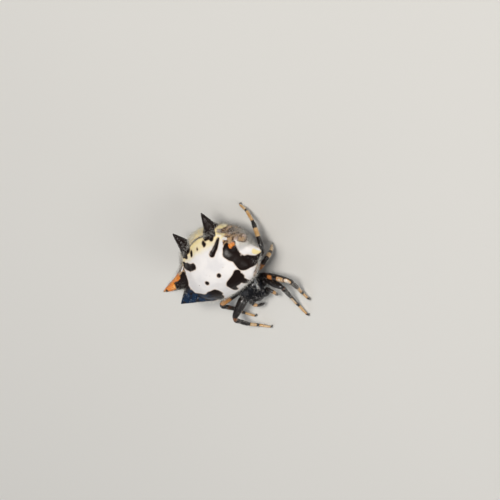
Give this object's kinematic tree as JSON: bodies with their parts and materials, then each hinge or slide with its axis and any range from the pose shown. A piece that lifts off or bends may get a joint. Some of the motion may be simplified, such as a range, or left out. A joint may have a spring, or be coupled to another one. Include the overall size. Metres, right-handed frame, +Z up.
{
  "type": "spiny orb weaver spider",
  "caption": "Life-size still model of a spiny orb weaver spider: broad spined abdomen, small dark front body, jaws, feelers, eyes and jointed legs, standing on its feet.",
  "frame": {"origin": "on the floor, under the middle of the whole spider's box", "axes": "+X the spider's left, -Y the way its head points, +Z up from the floor"},
  "size_m": [0.0106, 0.013, 0.0054],
  "materials": {
    "shell": "hard waxy shell, white and cream with black pits and spines",
    "carapace": "glossy black with grey hairs",
    "mouthparts": "dark brown, satin",
    "eye": "polished black",
    "fang": "dark horn, glossy",
    "dark_leg": "blackish brown, hairy",
    "banded_leg": "tan and orange with black bands, hairy"
  },
  "bodies": {
    "root": {"abdomen": "shell", "carapace": "carapace", "chelicera_left": "mouthparts", "chelicera_right": "mouthparts", "eye_front_lateral_left": "eye", "eye_front_lateral_right": "eye", "eye_front_median_left": "eye", "eye_front_median_right": "eye", "eye_rear_lateral_left": "eye", "eye_rear_lateral_right": "eye", "eye_rear_median_left": "eye", "eye_rear_median_right": "eye", "fang_left": "fang", "fang_right": "fang", "leg_left_1_femur": "dark_leg", "leg_left_1_metatarsus": "banded_leg", "leg_left_1_tarsus": "banded_leg", "leg_left_1_tibia": "banded_leg", "leg_left_2_femur": "dark_leg", "leg_left_2_metatarsus": "banded_leg", "leg_left_2_tarsus": "banded_leg", "leg_left_2_tibia": "banded_leg", "leg_left_3_femur": "dark_leg", "leg_left_3_metatarsus": "banded_leg", "leg_left_3_tarsus": "banded_leg", "leg_left_3_tibia": "banded_leg", "leg_left_4_femur": "dark_leg", "leg_left_4_metatarsus": "banded_leg", "leg_left_4_tarsus": "banded_leg", "leg_left_4_tibia": "banded_leg", "leg_right_1_femur": "dark_leg", "leg_right_1_metatarsus": "banded_leg", "leg_right_1_tarsus": "banded_leg", "leg_right_1_tibia": "banded_leg", "leg_right_2_femur": "dark_leg", "leg_right_2_metatarsus": "banded_leg", "leg_right_2_tarsus": "banded_leg", "leg_right_2_tibia": "banded_leg", "leg_right_3_femur": "dark_leg", "leg_right_3_metatarsus": "banded_leg", "leg_right_3_tarsus": "banded_leg", "leg_right_3_tibia": "banded_leg", "leg_right_4_femur": "dark_leg", "leg_right_4_metatarsus": "banded_leg", "leg_right_4_tarsus": "banded_leg", "leg_right_4_tibia": "banded_leg", "palp_left": "mouthparts", "palp_right": "mouthparts", "pedicel": "mouthparts", "spinnerets": "mouthparts", "sternum": "mouthparts"}
  },
  "joints": []
}
